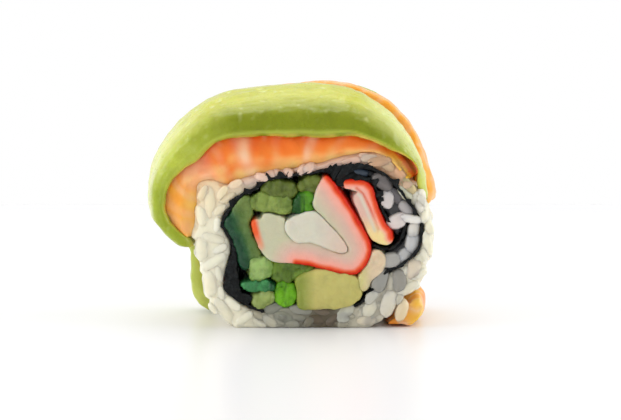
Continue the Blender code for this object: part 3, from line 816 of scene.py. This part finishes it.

# Grains that show in the crescent and in the thin places at the right of the front cut:
# (x, z, half length, half width, turn in degrees, depth behind the cut, tone), millimetres.
# Each tone has the grain's light or shade painted in: dark grey where it lies in shadow, near white where it
# is lit.
NAMED_GRAINS = [
    (12.4, 29.9, 2.1, 1.0, -8, 0.3, (66, 78, 92)),
    (16.9, 27.9, 2.3, 1.7, -35, 0.0, (118, 112, 110)),
    (19.4, 25.4, 1.9, 1.2, -50, 0.5, (112, 108, 110)),
    (17.9, 24.7, 1.9, 1.5, 80, -0.1, (214, 206, 202)),
    (21.5, 23.1, 1.7, 1.2, -45, 0.2, (176, 172, 170)),
    (19.8, 20.7, 2.2, 1.6, 25, -0.1, (226, 214, 208)),
    (22.6, 21.0, 2.3, 0.9, -10, -0.2, (244, 238, 228)),
    (23.0, 18.9, 1.8, 1.3, 80, 0.1, (224, 218, 206)),
    (22.6, 16.6, 2.5, 1.5, 84, 0.1, (200, 200, 198)),
    (21.2, 13.8, 1.9, 1.4, 50, 0.1, (190, 190, 188)),
    (18.7, 12.9, 2.2, 1.7, 5, -0.3, (176, 174, 168)),
    (16.7, 9.1, 2.5, 1.7, 68, -0.5, (158, 157, 150)),
    (20.0, 9.1, 2.4, 1.6, 95, -0.3, (156, 153, 144)),
    (14.9, 6.0, 1.7, 1.1, 50, -0.5, (198, 196, 184)),
    (22.9, 11.4, 2.4, 1.6, 75, 0.0, (236, 218, 192)),
    (14.5, 3.9, 2.1, 1.5, 60, -0.1, (226, 220, 198)),
    (18.2, 4.9, 3.0, 1.8, 70, -0.2, (228, 220, 200)),
    (10.0, 2.8, 2.6, 1.7, 60, 0.0, (204, 202, 184)),
    (14.0, 1.4, 2.0, 1.1, 5, 0.0, (220, 208, 184)),
    (21.4, 26.1, 2.0, 1.2, -50, 0.1, (216, 214, 184)),
    (24.2, 24.4, 2.4, 1.2, 88, 0.1, (248, 238, 216)),
    (20.6, 3.5, 2.3, 1.2, 72, -0.2, (228, 210, 176)),
    (11.2, 32.1, 2.3, 1.0, 12, 0.1, (224, 186, 166)),
    (14.8, 32.5, 2.2, 1.0, -6, 0.0, (226, 194, 168)),
    (17.8, 31.3, 2.1, 1.1, -32, 0.1, (212, 178, 142)),
    (21.9, 27.4, 2.2, 1.1, -50, 0.0, (206, 186, 138)),
    (8.0, 31.0, 1.8, 0.7, 14, 0.2, (212, 178, 162)),
    (-5.9, 1.9, 2.4, 1.3, -28, 0.1, (178, 172, 150)),
    (-3.9, 3.7, 2.2, 1.2, 14, 0.2, (146, 147, 134)),
    (-1.9, 1.9, 2.2, 1.3, -22, 0.0, (150, 149, 132)),
    (1.6, 3.5, 2.5, 1.1, -8, 0.1, (156, 155, 144)),
    (0.9, 1.2, 2.0, 1.0, 24, 0.1, (136, 131, 114)),
    (4.3, 1.4, 2.1, 1.1, -12, 0.2, (104, 92, 74)),
    (5.6, 3.3, 2.0, 1.0, -16, 0.3, (122, 110, 94)),
    (7.5, 1.7, 1.8, 1.0, 42, 0.2, (110, 98, 82)),
]
CRESCENT_GRAINS = NAMED_GRAINS[:11]
for side, chosen in ((-1, NAMED_GRAINS), (1, CRESCENT_GRAINS)):
    for x, z, half_length, half_width, turn, y, shade in chosen:
        angle = math.radians(turn)
        at = Vector((x * MM, side * (BACK - (y + half_width * 0.6) * MM), z * MM))
        along = Vector((math.cos(angle), -side * 0.1, math.sin(angle))).normalized()
        size = (2 * half_length * MM, 2 * half_width * MM)
        grains.append(Grain(at, along, Vector((0, side, 0)), *size, BACK - y * MM, tone(*shade)))

served("rice_grains", grains_mesh("rice_grains"), rice, "rice", "rice_ring")

mesh, flat = plump("rice_crescent", 0.35 * MM, 3, 0.1 * MM, 0.3 * MM, 1.3 * MM)
points, _ = arrays(mesh)
moved(mesh, points * (1, 1 - 1.2 * MM / BACK, 1))
# The crescent's core is painted dark grey: painted shade in the hollows between its grains, under the nori.
painted(mesh, np.tile(tone(80, 80, 82), (len(mesh.vertices), 1)))
served("rice_crescent_core", mesh, rice, "rice", "rice_crescent")


# Salmon. Raw fillet sliced across the grain, orange flesh with pale bands of fat, laid over the
# rice: a broad slice, a narrower band over it at the right, and an end tucked under the foot.

SALMON_CELL = 0.32 * MM
SETTLE_ROUNDS = 25
SETTLE_INTO = 0.25 * MM
SETTLE_GAPS = (-1 * MM, 2.5 * MM)
OUTSIDE = 60
FLAP_SINK = 0.6
FLAP_FADES = (16, 14)
SALMON_TOP = tone(246, 102, 24)
SALMON_MIDDLE = tone(252, 134, 48)
SALMON_LOW = tone(255, 208, 128)
SALMON_FAT = tone(250, 206, 170)
SALMON_YELLOW = tone(252, 190, 64)
FAT_LINE_SPACING = 7.5
SALMON_BULGE = (32, 7, 0.3 * MM)
SALMON_END_FORWARD = 1.2 * MM
FLAKE = 1.1 * MM
SALMON_STRIPES = [
    (18, 3.0, 0.5), (35, 3.0, 0.4), (50, 2.8, 0.25), (66, 2.4, 0.14), (81, 3.0, 0.72), (103, 2.4, 0.14),
    (121.5, 4.4, 0.8), (134, 2.2, 0.2), (145, 6.0, 0.75), (154, 2.0, 0.5), (164, 2.6, 0.35), (172, 4.5, 0.5),
]  # fmt: skip


def tree_of(mesh):
    """A search tree of a mesh's faces."""
    points, _ = arrays(mesh)
    return bvhtree.BVHTree.FromPolygons(points.tolist(), [tuple(face.vertices) for face in mesh.polygons])


def evened(mesh, values, rounds):
    """Values at the points of a mesh, each averaged with its neighbours a number of times."""
    ends = np.empty(len(mesh.edges) * 2, int)
    mesh.edges.foreach_get("vertices", ends)
    ends = ends.reshape(-1, 2)
    count = np.bincount(ends.ravel(), minlength=len(values)) + 1
    for _ in range(rounds):
        total = values + np.bincount(ends[:, 0], values[ends[:, 1]], len(values))
        values = (total + np.bincount(ends[:, 1], values[ends[:, 0]], len(values))) / count
    return values


def settled(mesh, first, last, beneath, flap=(360, 361)):
    """Presses a slice onto what carries it, and reads where each of its points is.

    The slice's thickness is read between two places along the roll, inside its rounded edges.
    Between the two flap angles the whole slice sinks, and elsewhere only its underside does. Gives
    the points, their degrees round the roll and their share of the way out through the slice.
    """
    points, _ = arrays(mesh)
    tree = tree_of(mesh)
    offset = points[:, [0, 2]] - AXIS
    distance = np.linalg.norm(offset, axis=1)
    degrees = np.degrees(np.arctan2(offset[:, 1], offset[:, 0])) % 360
    ways = offset / distance[:, None]
    through = np.empty(len(points))
    gap = np.zeros(len(points))
    for index, point in enumerate(points):
        way = Vector((ways[index, 0], 0, ways[index, 1]))
        start = Vector((AXIS[0], min(max(point[1], first * MM), last * MM), AXIS[1]))
        _, _, _, low = tree.ray_cast(start, way)
        _, _, _, high = tree.ray_cast(start + way * OUTSIDE * MM, -way)
        low = distance[index] if low is None else low
        high = distance[index] if high is None else OUTSIDE * MM - high
        through[index] = (distance[index] - low) / max(high - low, 0.2 * MM)
        carried = [below.ray_cast(start + way * OUTSIDE * MM, -way)[3] for below in beneath]
        tops = [OUTSIDE * MM - away for away in carried if away is not None]
        if tops:
            gap[index] = low - max(tops)
    through = np.clip(through, 0, 1)
    fade_in, fade_out = FLAP_FADES
    flapping = FLAP_SINK * np.clip((degrees - flap[0]) / fade_in, 0, 1)
    flapping *= np.clip((flap[1] - degrees) / fade_out, 0, 1)
    gap = evened(mesh, np.clip(gap, *SETTLE_GAPS), SETTLE_ROUNDS)
    drop = evened(mesh, (gap + SETTLE_INTO) * np.maximum(1 - through, flapping), 8)
    points[:, [0, 2]] -= ways * drop[:, None]
    return np.stack([evened(mesh, values, 2) for values in points.T], axis=1), degrees, through


salmon = moist("raw_salmon", 0.3, 0.35, 1.4 * MM, 0.08, 3.0 * MM, 0.8 * MM, 0.06 * MM, wet=0.2)


def salmon_tones(points, degrees, through, yellow=0.0):
    """Orange, redder to the outside, crossed by bands of fat that lean along the slice."""
    wander = 2.5 * lumps(points, 7 * MM, 2) + 0.5 * lumps(points, 2.5 * MM, 6)
    place = degrees + 0.45 * (points[:, 1] - FRONT) / MM + 4.0 * (through - 1) + wander
    patchy = 0.85 + 0.5 * lumps(points, 2.2 * MM, 12)
    fat = np.zeros(len(points))
    for centre, width, strength in SALMON_STRIPES:
        fat = np.maximum(fat, strength * np.exp(-(np.abs((place - centre) / width) ** 2.6)))
    fat *= patchy
    lines = np.abs(np.sin(math.pi * place / FAT_LINE_SPACING)) ** 8
    fat = np.maximum(fat, 0.45 * patchy * lines * np.clip((through - 0.75) / 0.2, 0, 1))
    blotch = lumps(points, 2.4 * MM, 15) * np.clip((degrees - 90) / 40, 0.4, 1)
    tones = graded(through - 0.45 * blotch, (0.0, SALMON_LOW), (0.5, SALMON_MIDDLE), (0.9, SALMON_TOP))
    # Painted light: the flap at the left and the front of the right end are painted yellow, bright as if lit,
    # though they lie in the avocado's shade.
    golden_light = 0.6 * np.clip((degrees - 146) / 12, 0, 1)
    golden_light += np.clip((46 - degrees) / 6, 0, 1) * (1 - 0.3 * through) * (points[:, 1] < FRONT + 1.5 * MM)
    tones = mixed(tones, SALMON_YELLOW, np.maximum(yellow, golden_light))
    return mixed(tones, SALMON_FAT, fat * 0.85)


carriers = [ring_tree]
for node, yellow, first, last in (("salmon_slice", 0.0, -11.5, 11.5), ("salmon_band", 0.7, -5.0, 4.0)):
    mesh = remeshed(merged_copy(node), SALMON_CELL, 4)
    points, degrees, through = settled(mesh, first, last, carriers)
    painted(mesh, salmon_tones(points, degrees, through, yellow))
    _, normals = arrays(mesh)
    height = 0.28 * MM * lumps(points, 5 * MM, 1) + 0.1 * MM * lumps(points, 1.8 * MM, 2)
    points += normals * height[:, None]
    if node == "salmon_slice":
        middle, reach, depth = SALMON_BULGE
        inward = AXIS - points[:, [0, 2]]
        inward /= np.linalg.norm(inward, axis=1)[:, None]
        bulge = np.exp(-(((degrees - middle) / reach) ** 2))
        points[:, [0, 2]] += inward * (depth * bulge * (1 - through))[:, None]
        points[:, 1] -= np.where(points[:, 1] < FRONT + MM, SALMON_END_FORWARD * bulge, 0)
    moved(mesh, points)
    if node == "salmon_slice":
        carriers.append(tree_of(mesh))
    served(node + "_fillet", mesh, salmon, "salmon", node)

mesh, flat = plump("salmon_foot", GREEN_CELL, 2, 0.0, 0.35 * MM, 2.4 * MM)
points, normals = arrays(mesh)
flakes = np.abs(np.sin(points[:, 1] / FLAKE + 3 * lumps(points, 5 * MM, 3) + flat[:, 0] * 0.35)) ** 0.5
waves = lumps(points * (0.3, 1, 0.3), 4 * MM, 6) + np.clip((np.abs(points[:, 1]) - 9 * MM) / (4 * MM), 0, 1)
points = points + normals * (0.22 * MM * (flakes - 0.8) - 0.7 * MM * waves)[:, None] * (1, 0.2, 1)
points[:, 2] = np.maximum(points[:, 2], 0)
moved(mesh, points)
foot_tones = graded(flat[:, 0], (18, tone(238, 138, 44)), (22, tone(250, 184, 58)), (25, tone(254, 208, 92)))
foot_tones = mixed(foot_tones, SALMON_MIDDLE, 0.2 + 1.2 * lumps(points, 4 * MM, 9))
painted(mesh, mixed(foot_tones, SALMON_FAT, 0.9 - 1.1 * flakes))
served("salmon_foot_fillet", mesh, salmon, "salmon", "salmon_foot")


# Avocado outside. Two thin slices of ripe avocado pressed over the salmon: yellow-green flesh, painted paler
# and lit on top, deeper green on the cut, partly its own colour under the skin and partly painted shade,
# shiny and smeared by the knife.

AVOCADO_CELL = 0.3 * MM
AVOCADO_PALE_LIT = tone(198, 200, 72)
AVOCADO_GREEN = tone(152, 168, 34)
AVOCADO_DEEP_AND_SHADE = tone(128, 140, 8)
AVOCADO_RIM = tone(206, 184, 72)
AVOCADO_LIT_GREEN = tone(184, 196, 66)
AVOCADO_GLARE = tone(228, 234, 164)
AVOCADO_REAR = tone(204, 210, 116)
AVOCADO_TIP = 1.4 * MM
AVOCADO_LIFT = 2.3 * MM
AVOCADO_LIFT_AT = (33, 9)

avocado = moist("avocado_slice", 0.28, 0.3, 1.2 * MM, 0.12, 2.4 * MM, 0.8 * MM, 0.14 * MM, wet=0.4)

mesh = remeshed(merged_copy("avocado_front"), AVOCADO_CELL, 10)
points, degrees, through = settled(mesh, -12, 0, carriers)
# The front cut is deep green, partly the flesh's own colour and partly painted shade where the cut turns
# down; the ends are painted lighter where they turn to the side lamps, and the top behind the cut paler, as
# lit.
edge = (points[:, 1] - points[:, 1].min()) / MM + 0.5 * lumps(points, 3 * MM, 4)
side = np.clip((degrees - 118) / 30, 0, 1) + np.clip((52 - degrees) / 25, 0, 1)
front_tone = mixed(AVOCADO_DEEP_AND_SHADE, AVOCADO_LIT_GREEN, side)
front_tone = mixed(front_tone, AVOCADO_GREEN, (degrees - 148) / 14)
share = np.clip((edge - 0.6) / 4.5, 0, 1)
tones = mixed(front_tone, AVOCADO_PALE_LIT, share)
streaks = lumps(np.c_[degrees * 0.12 * MM, points[:, 1], through * MM], 0.8 * MM, 9)
# Painted highlights: glare on both ends and along pale streaks; the pale flecks are the flesh's own, drawn in
# the same glare tone.
highlit_ends = 0.7 * np.clip((degrees - 122) / 28, 0, 1) + 0.8 * np.clip((68 - degrees) / 22, 0, 1)
tones = mixed(tones, AVOCADO_GLARE, share * (highlit_ends + 0.3 * np.clip(streaks - 0.1, 0, 1)))
flecks = np.clip(lumps(points, 1.3 * MM, 21) - 0.36, 0, 1)
tones = mixed(tones, AVOCADO_GLARE, 1.6 * flecks * (0.25 + share))
# Painted highlights along the lower rim: a pale green line just above it and a yellow one at the rim, where
# the edge catches the light.
tones = mixed(tones, AVOCADO_LIT_GREEN, 0.7 * np.exp(-(((through - 0.14) / 0.07) ** 2)))
tones = mixed(tones, AVOCADO_RIM, np.clip(1 - through / 0.12, 0, 1) * (0.5 + lumps(points, 2 * MM, 3)))
painted(mesh, tones)
ways = points[:, [0, 2]] - AXIS
ways /= np.linalg.norm(ways, axis=1)[:, None]
middle, reach = AVOCADO_LIFT_AT
lift = np.exp(-(((degrees - middle) / reach) ** 2)) * (1 - through)
lift *= np.clip((-7 * MM - points[:, 1]) / (4 * MM), 0, 1)
points[:, [0, 2]] += ways * (AVOCADO_LIFT * lift)[:, None]
_, normals = arrays(mesh)
height = 0.3 * MM * lumps(points, 6 * MM, 1) + 0.1 * MM * lumps(points, (1.6 * MM, 4 * MM, 1.6 * MM), 2)
thinned = AVOCADO_TIP * through * np.clip((27 - degrees) / 12, 0, 1)
height += 0.1 * MM * streaks - 0.5 * MM * flecks * share - thinned
moved(mesh, points + normals * height[:, None])
served("avocado_front_slice", mesh, avocado, "avocado", "avocado_front")

mesh = remeshed(merged_copy("avocado_rear"), AVOCADO_CELL, 4)
points, degrees, through = settled(mesh, 9.5, 11, carriers, (174, 214))
tones = graded(through, (0.0, AVOCADO_RIM), (0.4, AVOCADO_REAR), (1.0, AVOCADO_REAR))
painted(mesh, mixed(tones, AVOCADO_GREEN, 0.4 + 0.6 * lumps(points, 5 * MM, 8)))
_, normals = arrays(mesh)
height = 0.3 * MM * lumps(points, 6 * MM, 5) + 0.1 * MM * lumps(points, (1.6 * MM, 4 * MM, 1.6 * MM), 7)
moved(mesh, points + normals * height[:, None])
served("avocado_rear_slice", mesh, avocado, "avocado", "avocado_rear")


# The table and the light: a glossy white counter that ends behind the roll, white all round, with
# soft lights at both sides, behind and above, and little light from the front.

FLOOR_SIZE = 1.4
FLOOR_END = 0.2
SKY_FRONT, SKY_BACK = 0.57, 0.85

bm = bmesh.new()
bmesh.ops.create_grid(bm, x_segments=1, y_segments=1, size=FLOOR_SIZE / 2)
bmesh.ops.translate(bm, verts=bm.verts, vec=(0, FLOOR_END - FLOOR_SIZE / 2, 0))
mesh = bpy.data.meshes.new("counter")
bm.to_mesh(mesh)
bm.free()
counter = bpy.data.objects.new("counter", mesh)
bpy.context.scene.collection.objects.link(counter)
gloss_white = bpy.data.materials.new("gloss_white")
shader_of(gloss_white, Base_Color=(0.89, 0.89, 0.9, 1), Roughness=0.3, Specular_IOR_Level=0.2)
mesh.materials.append(gloss_white)


def softbox(name, place, target, size, power):
    """A square of soft light aimed at a point."""
    data = bpy.data.lights.new(name, "AREA")
    data.size = size
    data.energy = power
    light = bpy.data.objects.new(name, data)
    light.location = place
    light.rotation_euler = (Vector(target) - Vector(place)).to_track_quat("-Z", "Y").to_euler()
    bpy.context.scene.collection.objects.link(light)


softbox("light_left", (-0.42, -0.10, 0.20), (0, 0, 0.02), 0.30, 0.78)
softbox("light_right", (0.42, -0.02, 0.20), (0, 0, 0.02), 0.30, 0.78)
softbox("light_low", (-0.22, -0.34, 0.05), (-0.01, 0, 0.025), 0.22, 0.2)
softbox("light_top", (-0.05, 0.12, 0.5), (0, 0, 0.02), 0.4, 0.85)

world = bpy.data.worlds.new("studio")
bpy.context.scene.world = world
world.use_nodes = True
world_nodes, world_links = world.node_tree.nodes, world.node_tree.links
sky = world_nodes["Background"]
direction = world_nodes.new("ShaderNodeTexCoord")
split = world_nodes.new("ShaderNodeSeparateXYZ")
front_to_back = world_nodes.new("ShaderNodeMapRange")
front_to_back.inputs["From Min"].default_value = -1
front_to_back.inputs["From Max"].default_value = 0.7
front_to_back.inputs["To Min"].default_value = SKY_FRONT
front_to_back.inputs["To Max"].default_value = SKY_BACK
seen = world_nodes.new("ShaderNodeLightPath")
choose = world_nodes.new("ShaderNodeMix")
choose.data_type = "FLOAT"
choose.inputs["B"].default_value = 1.0
world_links.new(direction.outputs["Generated"], split.inputs["Vector"])
world_links.new(split.outputs["Y"], front_to_back.inputs["Value"])
world_links.new(seen.outputs["Is Camera Ray"], choose.inputs["Factor"])
world_links.new(front_to_back.outputs["Result"], choose.inputs["A"])
world_links.new(choose.outputs["Result"], sky.inputs["Strength"])
sky.inputs["Color"].default_value = (1, 1, 1, 1)

# The camera stands low in front of the cut face.

camera_data = bpy.data.cameras.new("camera")
camera_data.lens = 137
camera_data.sensor_width = 36
camera_data.clip_start = 0.01
camera = bpy.data.objects.new("camera", camera_data)
camera.location = (3.23 * MM, -460.6 * MM, 73.7 * MM)
camera.rotation_euler = (math.radians(90 - 6.5), 0, 0)
bpy.context.scene.collection.objects.link(camera)
bpy.context.scene.camera = camera
bpy.context.scene.view_settings.view_transform = "Standard"

bpy.context.view_layer.update()
